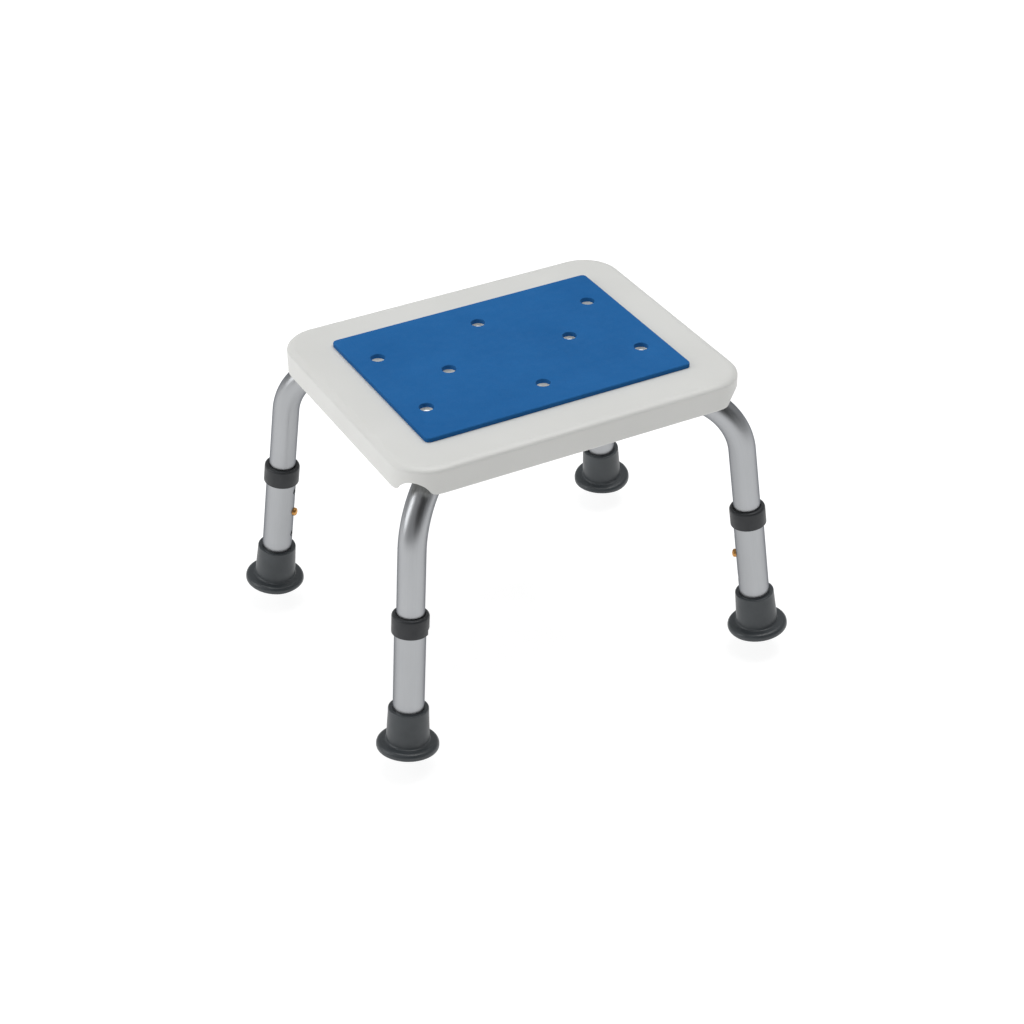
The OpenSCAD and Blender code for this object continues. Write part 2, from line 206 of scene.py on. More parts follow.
def rounded(corners, step=12):
    """Closed outline through (x, y, radius) corners, with a point every few degrees of each arc."""
    outline = []
    for i, (x, y, r) in enumerate(corners):
        if r == 0:
            outline.append((x, y))
            continue
        corner = Vector((x, y))
        before = (Vector(corners[i - 1][:2]) - corner).normalized()
        after = (Vector(corners[(i + 1) % len(corners)][:2]) - corner).normalized()
        half = before.angle(after) / 2
        centre = corner + (before + after).normalized() * r / math.sin(half)
        first = corner + before * r / math.tan(half) - centre
        turn = 180 - math.degrees(2 * half)
        steps = max(2, round(turn / step))
        if before.x * after.y - before.y * after.x > 0:
            turn = -turn
        start = math.degrees(math.atan2(first.y, first.x))
        outline += arc(centre, r, start, start + turn, steps)
    return outline


def rounded_rectangle(half_x, half_y, r, steps=20):
    """Counter-clockwise ring with the same number of points for any size."""
    ring = []
    for turn, (sx, sy) in enumerate(((1, 1), (-1, 1), (-1, -1), (1, -1))):
        ring += arc((sx * (half_x - r), sy * (half_y - r)), r, 90 * turn, 90 * turn + 90, steps)
    return ring


# ---------------------------------------------------------------- meshes

def lathe(profile, steps=96):
    """Solid of revolution about Z from a closed profile of (radius, height) points."""
    bm = bmesh.new()
    turns = [2 * math.pi * i / steps for i in range(steps)]
    rows = []
    for r, z in profile:
        if r == 0:
            rows.append([bm.verts.new((0, 0, z))] * steps)
        else:
            rows.append([bm.verts.new((r * math.cos(t), r * math.sin(t), z)) for t in turns])
    for low, high in zip(rows, rows[1:] + rows[:1]):
        for i in range(steps):
            j = (i + 1) % steps
            corners = list(dict.fromkeys((low[i], low[j], high[j], high[i])))
            if len(corners) > 2:
                bm.faces.new(corners)
    bmesh.ops.recalc_face_normals(bm, faces=bm.faces)
    return bm


def loft(rings):
    """Skin over rings of points, capped at both ends."""
    bm = bmesh.new()
    rows = [[bm.verts.new(point) for point in ring] for ring in rings]
    bm.faces.new(rows[0])
    bm.faces.new(rows[-1])
    for low, high in zip(rows, rows[1:]):
        for i in range(len(low)):
            j = (i + 1) % len(low)
            bm.faces.new((low[i], low[j], high[j], high[i]))
    bmesh.ops.recalc_face_normals(bm, faces=bm.faces)
    return bm


def prism(outline, low, high):
    """Straight extrusion of an outline in XY."""
    return loft([[(x, y, z) for x, y in outline] for z in (low, high)])


def box(low, high):
    outline = [(low[0], low[1]), (high[0], low[1]), (high[0], high[1]), (low[0], high[1])]
    return prism(outline, low[2], high[2])


def moved(bm, matrix):
    bmesh.ops.transform(bm, matrix=matrix, verts=bm.verts)
    return bm


def round_bar(r, length, placed, steps=48):
    return moved(lathe([(0, 0), (r, 0), (r, length), (0, length)], steps), placed)


def shift(x, y, z):
    return Matrix.Translation((x, y, z))


def spun(degrees, axis="Z"):
    return Matrix.Rotation(math.radians(degrees), 4, axis)


def flared_hole(x, y, r, low, high, flare, far=OVERCUT):
    """Cutter for a hole whose rims at heights low and high are rounded, and which runs far past both."""
    profile = [(0, low - far), (r + flare, low - far)]
    profile += arc((r + flare, low + flare), flare, 270, 180, 5)
    profile += arc((r + flare, high - flare), flare, 180, 90, 5)
    profile += [(r + flare, high + far), (0, high + far)]
    return moved(lathe(profile, 64), shift(x, y, 0))


def joined(parts):
    """One mesh that holds several."""
    whole = bmesh.new()
    for bm in parts:
        mesh = bpy.data.meshes.new("part")
        bm.to_mesh(mesh)
        bm.free()
        whole.from_mesh(mesh)
        bpy.data.meshes.remove(mesh)
    return whole


def new_object(name, bm):
    """Object in the scene that takes over a finished mesh."""
    mesh = bpy.data.meshes.new(name)
    bm.to_mesh(mesh)
    bm.free()
    obj = bpy.data.objects.new(name, mesh)
    scene.collection.objects.link(obj)
    return obj


def combined(bm, parts, operation="DIFFERENCE"):
    """The mesh after cutting away or adding the given parts."""
    target = new_object("target", bm)
    other = new_object("other", joined(parts))
    change = target.modifiers.new("change", "BOOLEAN")
    change.operation = operation
    change.object = other
    change.solver = "EXACT"
    change.use_self = operation == "UNION"
    evaluated = target.evaluated_get(bpy.context.evaluated_depsgraph_get())
    made = bpy.data.meshes.new_from_object(evaluated)
    result = bmesh.new()
    result.from_mesh(made)
    for obj in (target, other):
        mesh = obj.data
        bpy.data.objects.remove(obj)
        bpy.data.meshes.remove(mesh)
    bpy.data.meshes.remove(made)
    return result


def show(name, bm, material, body, node, placed=Matrix(), grain=None, bend=None):
    """Places a finished mesh as a piece that rides on a body and stands for a CAD node.
    grain gives, for each point of a drawn tube, where it would be if the tube were straight.
    bend, when given, leaves the piece on no body, with its placement baked into its mesh; the body and the
    points that bend holds are not used."""
    bmesh.ops.remove_doubles(bm, verts=bm.verts, dist=MERGE_DISTANCE)
    for face in bm.faces:
        face.smooth = True
    for edge in bm.edges:
        edge.smooth = len(edge.link_faces) == 2 and edge.calc_face_angle(0) < math.radians(SHARP_ANGLE)
    drawn = [grain(vertex.co) for vertex in bm.verts] if grain else None
    obj = new_object(name, moved(bm, placed @ Matrix.Scale(MM, 4)))
    if drawn:
        stored = obj.data.attributes.new("along_tube", "FLOAT_VECTOR", "POINT")
        stored.data.foreach_set("vector", np.array(drawn).ravel() * MM)
    obj.data.materials.append(material)
    if bend:
        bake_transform(obj)
    else:
        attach(obj, body)
    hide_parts(node)
    return obj


# ---------------------------------------------------------------- materials

class Finish:
    """A material under construction: a principled shader and the patterns that drive it."""

    def __init__(self, name, **sockets):
        self.material = bpy.data.materials.new(name)
        self.material.use_nodes = True
        self.tree = self.material.node_tree
        self.shader = self.tree.nodes["Principled BSDF"]
        for socket, value in sockets.items():
            self.shader.inputs[socket.replace("_", " ")].default_value = value
        self.relief = None

    def node(self, kind, **settings):
        made = self.tree.nodes.new("ShaderNode" + kind)
        for name, value in settings.items():
            setattr(made, name, value)
        return made

    def link(self, output, target):
        self.tree.links.new(output, target)

    def coordinates(self, stretch=(1, 1, 1), attribute=None):
        """Object coordinates, or a stored vector, stretched along each axis."""
        mapping = self.node("Mapping")
        mapping.inputs["Scale"].default_value = stretch
        if attribute:
            source = self.node("Attribute", attribute_name=attribute).outputs["Vector"]
        else:
            source = self.node("TexCoord").outputs["Object"]
        self.link(source, mapping.inputs["Vector"])
        return mapping.outputs["Vector"]

    def noise(self, scale, detail=3.0, rough=0.5, stretch=(1, 1, 1), attribute=None):
        texture = self.node("TexNoise")
        texture.inputs["Scale"].default_value = scale
        texture.inputs["Detail"].default_value = detail
        texture.inputs["Roughness"].default_value = rough
        self.link(self.coordinates(stretch, attribute), texture.inputs["Vector"])
        return texture.outputs["Fac"]

    def cells(self, scale):
        texture = self.node("TexVoronoi")
        texture.inputs["Scale"].default_value = scale
        self.link(self.coordinates(), texture.inputs["Vector"])
        return texture.outputs["Distance"]

    def ramp(self, pattern, start, first, end, second):
        """Colours along a pattern: the first up to start, the second from end on."""
        node = self.node("ValToRGB")
        for element, place, colour in zip(node.color_ramp.elements, (start, end), (first, second)):
            element.position = place
            element.color = (*colour, 1)
        self.link(pattern, node.inputs["Fac"])
        return node.outputs["Color"]

    def ranged(self, pattern, low, high, start=0.3, end=0.7):
        """Values from low to high as a pattern goes from start to end."""
        node = self.node("MapRange")
        for socket, value in zip(("From Min", "From Max", "To Min", "To Max"), (start, end, low, high)):
            node.inputs[socket].default_value = value
        self.link(pattern, node.inputs["Value"])
        return node.outputs["Result"]

    def mixed(self, share, first, second):
        """The first with a share of the second. Each of the three is an output or a fixed value."""
        node = self.node("Mix", data_type="RGBA")
        for socket, value in ((0, share), (6, first), (7, second)):
            if isinstance(value, (float, tuple)):
                node.inputs[socket].default_value = value
            else:
                self.link(value, node.inputs[socket])
        return node.outputs[2]

    def colour(self, output):
        self.link(output, self.shader.inputs["Base Color"])

    def roughness(self, output):
        self.link(output, self.shader.inputs["Roughness"])

    def bump(self, pattern, depth, strength):
        """Adds a relief of the given depth, in metres, on top of those before it."""
        node = self.node("Bump")
        node.inputs["Strength"].default_value = strength
        node.inputs["Distance"].default_value = depth
        self.link(pattern, node.inputs["Height"])
        if self.relief:
            self.link(self.relief, node.inputs["Normal"])
        self.relief = node.outputs["Normal"]
        self.link(self.relief, self.shader.inputs["Normal"])

    def edges(self, radius):
        """1 along rounded edges, 0 elsewhere: the mask for a lighter colour painted on there as a highlight.
        """
        bevel = self.node("Bevel", samples=4)
        bevel.inputs["Radius"].default_value = radius
        dot = self.node("VectorMath", operation="DOT_PRODUCT")
        self.link(bevel.outputs["Normal"], dot.inputs[0])
        self.link(self.node("NewGeometry").outputs["Normal"], dot.inputs[1])
        return self.ranged(dot.outputs["Value"], 1.0, 0.0, start=0.82, end=1.0)


def seat_plastic():
    """Off-white moulded plastic with a fine satin grain and the faintest mottling."""
    finish = Finish("seat_plastic", IOR=1.5, Subsurface_Weight=0.04,
                    Subsurface_Radius=(0.004, 0.004, 0.0035), Subsurface_Scale=0.6)
    mottle = finish.noise(9, detail=4)
    finish.colour(finish.ramp(mottle, 0.3, (0.655, 0.655, 0.632), 0.7, (0.69, 0.69, 0.668)))
    finish.roughness(finish.ranged(finish.noise(38), 0.38, 0.47))
    finish.bump(finish.noise(1700, detail=2), depth=0.00003, strength=0.55)
    finish.bump(finish.noise(60, detail=2), depth=0.00012, strength=0.25)
    return finish.material


def pad_foam():
    """Blue closed-cell foam: fine pores, a dry sheen and a lighter blue painted along its edges as a
    highlight.
    """
    finish = Finish("pad_foam", IOR=1.45, Specular_IOR_Level=0.1)
    broad = finish.noise(16, detail=5, rough=0.6)
    base = finish.ramp(broad, 0.25, (0.013, 0.112, 0.318), 0.75, (0.019, 0.134, 0.365))
    pores = finish.cells(900)
    in_pores = finish.ranged(pores, 0.0, 0.22, start=0.25, end=0.75)
    speckled = finish.mixed(in_pores, base, (0.01, 0.075, 0.24, 1))
    # Lighter blue along the edges: a painted highlight.
    finish.colour(finish.mixed(finish.edges(0.0011), speckled, (0.04, 0.19, 0.46, 1)))
    finish.roughness(finish.ranged(finish.noise(120), 0.62, 0.8))
    finish.bump(pores, depth=0.00012, strength=0.4)
    finish.bump(finish.noise(420, detail=4, rough=0.65), depth=0.00016, strength=0.45)
    return finish.material


def aluminium():
    """Satin anodised tube with fine drawing lines along its length."""
    finish = Finish("tube_aluminium", Metallic=1.0, Specular_Tint=(0.25, 0.26, 0.28, 1))
    lines = finish.noise(1, detail=5, rough=0.6, stretch=(2600, 2600, 14), attribute="along_tube")
    broad = finish.noise(1, detail=3, stretch=(60, 60, 16), attribute="along_tube")
    tone = finish.mixed(0.4, lines, broad)
    finish.colour(finish.ramp(tone, 0.3, (0.363, 0.371, 0.382), 0.7, (0.415, 0.424, 0.436)))
    finish.roughness(finish.ranged(lines, 0.28, 0.38))
    finish.bump(lines, depth=0.00002, strength=0.35)
    return finish.material


def collar_plastic():
    """Dark grey satin plastic, with a lighter grey painted along its edges as a highlight."""
    finish = Finish("collar_plastic", IOR=1.5, Specular_IOR_Level=0.4)
    base = finish.ramp(finish.noise(70), 0.3, (0.018, 0.02, 0.023), 0.7, (0.024, 0.026, 0.029))
    # Lighter grey along the edges: a painted highlight.
    finish.colour(finish.mixed(finish.edges(0.0009), base, (0.075, 0.08, 0.086, 1)))
    finish.roughness(finish.ranged(finish.noise(160), 0.4, 0.52))
    finish.bump(finish.noise(1900, detail=2), depth=0.00003, strength=0.5)
    return finish.material


def foot_rubber():
    """Blue-grey moulded rubber: matt, faintly mottled, with a lighter grey painted on its edges as a
    highlight.
    """
    finish = Finish("foot_rubber", IOR=1.5, Specular_IOR_Level=0.5)
    mottle = finish.noise(48, detail=5, rough=0.6)
    base = finish.ramp(mottle, 0.3, (0.034, 0.04, 0.045), 0.7, (0.044, 0.051, 0.056))
    # Lighter grey along the edges: a painted highlight.
    finish.colour(finish.mixed(finish.edges(0.0014), base, (0.11, 0.12, 0.128, 1)))
    finish.roughness(finish.ranged(finish.noise(90), 0.32, 0.46))
    finish.bump(finish.noise(1100, detail=3), depth=0.00005, strength=0.5)
    return finish.material


def brass(name, dull, bright):
    """Warm brass, slightly tarnished, with its roughness where it is dull and where it is bright."""
    finish = Finish(name, Metallic=1.0)
    tarnish = finish.noise(260, detail=4)
    finish.colour(finish.ramp(tarnish, 0.3, (0.42, 0.2, 0.06), 0.7, (0.66, 0.36, 0.12)))
    finish.roughness(finish.ranged(tarnish, dull, bright))
    return finish.material


def zinc_steel():
    """Zinc-plated steel with a faint spangle."""
    finish = Finish("zinc_steel", Metallic=1.0)
    spangle = finish.cells(420)
    finish.colour(finish.ramp(spangle, 0.2, (0.44, 0.45, 0.47), 0.8, (0.6, 0.61, 0.62)))
    finish.roughness(finish.ranged(finish.noise(300), 0.28, 0.45))
    finish.bump(finish.noise(900), depth=0.00002, strength=0.4)
    return finish.material


SEAT_PLASTIC = seat_plastic()
PAD_FOAM = pad_foam()
ALUMINIUM = aluminium()
COLLAR_PLASTIC = collar_plastic()
FOOT_RUBBER = foot_rubber()
BUTTON_BRASS = brass("button_brass", 0.34, 0.2)
INSERT_BRASS = brass("insert_brass", 0.4, 0.26)
ZINC_STEEL = zinc_steel()


# ---------------------------------------------------------------- seat and pad

def slab(high, corner_r, steps):
    """Rounded slab through rings at (inset, height) steps, from one flat face round to the other."""
    return loft([[(x, y, z) for x, y in rounded_rectangle(high.x - inset, high.y - inset, corner_r - inset)]
                 for inset, z in steps])


def seat_tray(high, rim_z, plate):
    """Top with a rolled edge, straight sides and a rounded rim, open below."""
    inner_r = SEAT_INNER_ROLL_R
    steps = [(SEAT_ROLL_ACROSS + CAP_INSET, high.z), (SEAT_ROLL_ACROSS + GUARD, high.z)]
    steps += [(SEAT_ROLL_ACROSS * (1 - x), high.z - SEAT_ROLL_DOWN * (1 - y))
              for x, y in arc((0, 0), 1, 90, 0, 14)]
    steps += [(0, high.z - SEAT_ROLL_DOWN - GUARD), (0, rim_z + SEAT_RIM_R + GUARD)]
    steps += arc((SEAT_RIM_R, rim_z + SEAT_RIM_R), SEAT_RIM_R, 180, 270, 4)
    steps += arc((SEAT_WALL - SEAT_RIM_R, rim_z + SEAT_RIM_R), SEAT_RIM_R, 270, 360, 4)
    steps += [(SEAT_WALL, rim_z + SEAT_RIM_R + GUARD), (SEAT_WALL, plate - inner_r - GUARD)]
    steps += arc((SEAT_WALL + inner_r, plate - inner_r), inner_r, 180, 90, 6)
    steps += [(SEAT_ROLL_ACROSS + CAP_INSET, plate)]
    return slab(high, SEAT_CORNER_R, steps)


def seat_ribs(high, plate):
    """Grid of ribs under the plate, with a channel and a screw boss for each leg's tube."""
    end_x, end_y = high.x - SEAT_WALL / 2, high.y - SEAT_WALL / 2
    low_z, high_z = plate - RIB_DEPTH, plate + OVERCUT
    ribs = []
    for side in (-1, 1):
        for x in RIB_X:
            ribs.append(box((side * x - RIB_T / 2, -end_y, low_z), (side * x + RIB_T / 2, end_y, high_z)))
        for y in RIB_Y:
            ribs.append(box((-end_x, side * y - RIB_T / 2, low_z), (end_x, side * y + RIB_T / 2, high_z)))
    near = INNER_TUBE_R + CHANNEL_GAP
    far = near + CHANNEL_T
    for leg in LEGS:
        along_leg = spun(azimuth_of(leg))
        for low_y, high_y in ((-far, -near), (near, far)):
            rib = box((CHANNEL_FROM, low_y, plate - CHANNEL_DEPTH), (CHANNEL_TO, high_y, high_z))
            ribs.append(moved(rib, along_leg))
        boss = prism(circle((SCREW_AT, 0), BOSS_R), TUBE_LEVEL, high_z)
        ribs.append(moved(boss, along_leg))
    return ribs


def corner_notch(sx, sy, high, bottom):
    """Cutter for the arch over a leg, square to the corner."""
    arch = NOTCH_APEX - NOTCH_R
    reach = math.sqrt((NOTCH_R + NOTCH_LIP_R) ** 2 - (NOTCH_LIP_R - arch) ** 2)
    meet = math.degrees(math.atan((NOTCH_LIP_R - arch) / reach))
    outline = [(reach, -OVERCUT)]
    outline += arc((reach, NOTCH_LIP_R), NOTCH_LIP_R, 270 - NOTCH_LIP_START, 180 + meet, 8)
    outline += arc((0, arch), NOTCH_R, meet, 180 - meet, 32)
    outline += arc((-reach, NOTCH_LIP_R), NOTCH_LIP_R, -meet, NOTCH_LIP_START - 90, 8)
    outline += [(-reach, -OVERCUT)]
    cutter = moved(prism(outline, 0, NOTCH_CUT), spun(90, "Z") @ spun(90, "X"))
    corner = shift(sx * (high.x - SEAT_CORNER_R), sy * (high.y - SEAT_CORNER_R), bottom)
    turn = spun(math.degrees(math.atan2(sy, sx)))
    return moved(cutter, corner @ turn @ shift(SEAT_CORNER_R - NOTCH_CUT / 2, 0, 0))


def seat_shell():
    """Moulded seat with its ribs, tube channels, screw bosses, drain holes and corner notches."""
    low, high = (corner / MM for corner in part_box("seat"))
    plate = high.z - SEAT_WALL
    shell = combined(seat_tray(high, low.z, plate), seat_ribs(high, plate), "UNION")
    tube_beds = []
    cutters = []
    for leg in LEGS:
        along_leg = spun(azimuth_of(leg))
        bed = along_leg @ shift(CHANNEL_FROM, 0, TUBE_LEVEL) @ spun(90, "Y")
        tube_beds.append(round_bar(INNER_TUBE_R, CHANNEL_TO - CHANNEL_FROM, bed, steps=96))
        insert_hole = prism(circle((SCREW_AT, 0), INSERT_R), TUBE_LEVEL, plate - INSERT_ROOF)
        cutters.append(moved(insert_hole, along_leg))
    for x, y in DRAIN_HOLES:
        cutters.append(flared_hole(x, y, DRAIN_HOLE_R, plate, high.z, SEAT_HOLE_FLARE,
                                   far=RIB_DEPTH + OVERCUT))
    for sx in (-1, 1):
        for sy in (-1, 1):
            cutters.append(corner_notch(sx, sy, high, low.z))
    return combined(combined(shell, tube_beds), cutters)


def foam_pad():
    """Flat pad with eased edges and the seat's drain holes through it."""
    low, high = (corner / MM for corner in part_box("seat_pad"))
    steps = [(PAD_EDGE_R + CAP_INSET, high.z), (PAD_EDGE_R + GUARD, high.z)]
    steps += arc((PAD_EDGE_R, high.z - PAD_EDGE_R), PAD_EDGE_R, 90, 180, 7)
    steps += [(0, low.z + 2 * PAD_BOTTOM_R)]
    steps += arc((PAD_BOTTOM_R, low.z + PAD_BOTTOM_R), PAD_BOTTOM_R, 180, 270, 2)
    steps += [(CAP_INSET, low.z)]
    holes = [flared_hole(x, y, DRAIN_HOLE_R, low.z - OVERCUT, high.z, PAD_HOLE_FLARE)
             for x, y in DRAIN_HOLES]
    return combined(slab(high, PAD_CORNER_R, steps), holes)


# ---------------------------------------------------------------- tubes

def tube_path(reach, splay):
    """Right half of a bent tube's centre line: (x, z, heading) from the middle to the lower end."""
    bend_z = TUBE_LEVEL - BEND_R
    bend_x = reach - (BEND_R + bend_z * math.sin(splay)) / math.cos(splay)
    path = [(x, TUBE_LEVEL, 0.0) for x in np.linspace(0, bend_x, 12)[:-1]]
    turn = math.pi / 2 - splay
    for heading in np.linspace(0, turn, 33):
        path.append((bend_x + BEND_R * math.sin(heading), bend_z + BEND_R * math.cos(heading), heading))
    start_x, start_z = path[-1][:2]
    end_x = reach - INNER_TUBE_END * math.sin(splay)
    end_z = INNER_TUBE_END * math.cos(splay)
    for share in np.linspace(0, 1, 9)[1:]:
        path.append((start_x + (end_x - start_x) * share, start_z + (end_z - start_z) * share, turn))
    return path


def swept(half, r, past_end=0.0, steps=72):
    """Rod of radius r along a path that is mirrored about its middle."""
    x, z, heading = half[-1]
    tail = (x + past_end * math.cos(heading), z - past_end * math.sin(heading), heading)
    right = half[:-1] + [tail]
    path = [(-x, z, -heading) for x, z, heading in reversed(right[1:])] + right
    rings = []
    for x, z, heading in path:
        ring = []
        for i in range(steps):
            turn = 2 * math.pi * i / steps
            out = r * math.cos(turn)
            ring.append((x + out * math.sin(heading), r * math.sin(turn), z + out * math.cos(heading)))
        rings.append(ring)
    return loft(rings)


def dent(grow, up):
    """Wedge that the press takes from the lower or upper half of a tube's middle."""
    half = DENT_HALF + grow * math.tan(math.radians(DENT_SLOPE / 2))
    far = 2 * INNER_TUBE_R
    outline = [(-half, grow), (half, grow), (half + grow + far, -far), (-half - grow - far, -far)]
    cutter = moved(prism(outline, -far, far), spun(90, "X"))
    if up:
        moved(cutter, Matrix.Diagonal((1, 1, -1, 1)))
        bmesh.ops.reverse_faces(cutter, faces=cutter.faces)
    return moved(cutter, shift(0, 0, TUBE_LEVEL))


def straightened(half):
    """Maps a point of the bent tube to (outwards, across, along) of the same tube made straight."""
    path = np.array([(x, z) for x, z, _ in half])
    steps = np.hypot(*np.diff(path, axis=0).T)
    lengths = np.concatenate([[0], np.cumsum(steps)])

    def straight(point):
        near = np.hypot(path[:, 0] - abs(point.x), path[:, 1] - point.z).argmin()
        heading = half[near][2]
        offset = np.array([abs(point.x), point.z]) - path[near]
        out = offset @ (math.sin(heading), math.cos(heading))
        forward = offset @ (math.cos(heading), -math.sin(heading))
        return out, point.y, math.copysign(lengths[near] + forward, point.x)

    return straight


def bent_tube(name, node, leg, dent_up):
    """Cross tube, in a frame whose X runs along it towards the given leg."""
    placed = LEG_FRAMES[leg]
    splay = math.acos(placed.col[2].z)
    reach = placed.translation.xy.length / MM
    half = tube_path(reach, splay)
    bore = combined(swept(half, INNER_TUBE_R - INNER_TUBE_WALL, past_end=OVERCUT),
                    [dent(INNER_TUBE_WALL, dent_up)])
    tube = combined(swept(half, INNER_TUBE_R), [dent(0, dent_up), bore])
    through = 4 * INNER_TUBE_R
    holes = [round_bar(r, through, shift(x, 0, TUBE_LEVEL - through / 2))
             for x, r in ((-SCREW_AT, SCREW_HOLE_R), (SCREW_AT, SCREW_HOLE_R), (0, BOLT_HOLE_R))]
    for turn in (0, 180):
        along_leg = spun(turn) @ shift(reach, 0, 0) @ spun(-math.degrees(splay), "Y")
        inwards = along_leg @ shift(0, 0, BUTTON_AT) @ spun(-90, "Y")
        holes.append(round_bar(HOLE_R, 2 * INNER_TUBE_R, inwards))
    show(name, combined(tube, holes), ALUMINIUM, "frame", node, spun(azimuth_of(leg)),
         grain=straightened(half))


def leg_tube(leg, placed):
    """Lower tube with eased ends and a row of adjustment holes on its inner side."""
    low, high = (end[2] for end in span("extension_tube_" + leg, placed))
    r = OUTER_TUBE_R
    bore = r - OUTER_TUBE_WALL
    ease = OUTER_TUBE_EASE
    profile = [(bore, low + ease), (bore + ease, low), (r - ease, low), (r, low + ease)]
    profile += [(r, z) for z in np.linspace(low, high, 9)[1:-1]]
    profile += [(r, high - ease), (r - ease, high), (bore + ease, high), (bore, high - ease)]
    cutters = []
    for step in (-1, 0, 1):
        inwards = shift(0, 0, BUTTON_AT + step * HOLE_PITCH) @ spun(-90, "Y")
        hole = flared_hole(0, 0, HOLE_R, bore / 2, r + HAIR, HOLE_FLARE)
        cutters.append(moved(hole, inwards))
    show("leg_tube_" + leg, combined(lathe(profile), cutters), ALUMINIUM, "leg_" + leg,
         "extension_tube_" + leg, placed, grain=tuple)


# ---------------------------------------------------------------- collars, feet and buttons

def collar(leg, placed):
    """Guide sleeve with a rounded shoulder and a slot in its lower edge."""
    base, top = (end[2] for end in span("collar_" + leg, placed))
    shoulder = top - COLLAR_LIP_H
    bore = OUTER_TUBE_R + HAIR
    sleeve = lathe(rounded([(bore, base, COLLAR_BORE_EASE), (COLLAR_R, base, COLLAR_RIM_R),
                            (COLLAR_R, top, COLLAR_SHOULDER_R), (COLLAR_LIP_R, top, COLLAR_MOUTH_R),
                            (COLLAR_LIP_R, shoulder, 0), (bore, shoulder, 0)]))
    turn = COLLAR_SLOT_TURN if leg.startswith("front") else -COLLAR_SLOT_TURN
    half = COLLAR_SLOT_W / 2
    outline = rounded([(-half, -OVERCUT, 0), (half, -OVERCUT, 0),
                       (half, COLLAR_SLOT_H, COLLAR_SLOT_R), (-half, COLLAR_SLOT_H, COLLAR_SLOT_R)])
    outwards = spun(turn) @ shift(0, 0, base) @ spun(90, "Z") @ spun(90, "X")
    slot = moved(prism(outline, 0, 2 * COLLAR_R), outwards)
    show("leg_collar_" + leg, combined(sleeve, [slot]), COLLAR_PLASTIC, "leg_" + leg,
         "collar_" + leg, placed)


def foot(leg, placed):
    """Rubber ferrule: rolled lip, waisted neck, a bead round its root and a wide rounded flange."""
    sole, top = (end[2] for end in span("foot_" + leg, placed))
    flange = sole + FLANGE_H
    disc = span("foot_disc_" + leg, placed)[0][2]
    outline = [(0, sole)]
    outline += arc((FLANGE_R - SOLE_EDGE_R, sole + SOLE_EDGE_R), SOLE_EDGE_R, -90, 0, 5)
    outline += arc((FLANGE_R - FLANGE_EDGE_R, flange - FLANGE_EDGE_R), FLANGE_EDGE_R, 0, 82, 14)
    outline += arc((NECK_BOTTOM_R + ROOT_FILLET_R, flange + ROOT_FILLET_R + ROOT_BEAD_H),
                   ROOT_FILLET_R, 262, 184, 8)
    outline += arc((NECK_TOP_R - NECK_EDGE_R, top - NECK_EDGE_R), NECK_EDGE_R, 4, 90, 6)
    outline += arc((OUTER_TUBE_R + MOUTH_EDGE_R, top - MOUTH_EDGE_R), MOUTH_EDGE_R, 90, 180, 4)
    outline += [(OUTER_TUBE_R, disc), (0, disc)]
    grooves = []
    for near in SOLE_GROOVES:
        far = near + SOLE_GROOVE_W
        roof = sole + SOLE_GROOVE_DEPTH
        grooves.append(lathe(rounded([(near, sole - OVERCUT, 0), (far, sole - OVERCUT, 0),
                                      (far, roof, SOLE_GROOVE_R), (near, roof, SOLE_GROOVE_R)], step=30)))
    body = pressed_flat(combined(lathe(outline), grooves), placed)
    show("leg_foot_" + leg, body, FOOT_RUBBER, "leg_" + leg, "foot_" + leg, placed)


def pressed_flat(bm, placed):
    """The mesh, in a leg's frame, without what would be below the floor."""
    floor_frame = placed.inverted()
    normal = (floor_frame.to_3x3() @ Vector((0, 0, 1))).normalized()
    cut = bmesh.ops.bisect_plane(bm, geom=bm.verts[:] + bm.edges[:] + bm.faces[:], dist=1e-5,
                                 plane_co=floor_frame.translation / MM, plane_no=normal, clear_inner=True)
    rim = [edge for edge in cut["geom_cut"] if isinstance(edge, bmesh.types.BMEdge)]
    bmesh.ops.triangle_fill(bm, edges=rim, use_beauty=True, normal=-normal)
    return bm


def button(leg, placed):
    """Domed snap button on its rivet, drawn with +Z towards the middle of the stool."""
    low, high = span("snap_button_" + leg, placed)
    tip, root = -low[0], -high[0]
    under_head = root + RIVET_HEAD_H
    profile = [(0, root), (RIVET_HEAD_R - RIVET_HEAD_EASE, root), (RIVET_HEAD_R, root + RIVET_HEAD_EASE),
               (RIVET_HEAD_R, under_head), (RIVET_R, under_head), (RIVET_R, SPRING_FACE)]
    profile += [(BUTTON_R, SPRING_FACE)]
    profile += [(BUTTON_R * x, tip - DOME_H * (1 - y)) for x, y in arc((0, 0), 1, 0, 90, 11)[:-1]]
    profile += [(0, tip)]
    inwards = placed @ shift(0, 0, BUTTON_AT * MM) @ spun(-90, "Y")
    show("leg_button_" + leg, lathe(profile, 64), BUTTON_BRASS, "button_" + leg,
         "snap_button_" + leg, inwards)


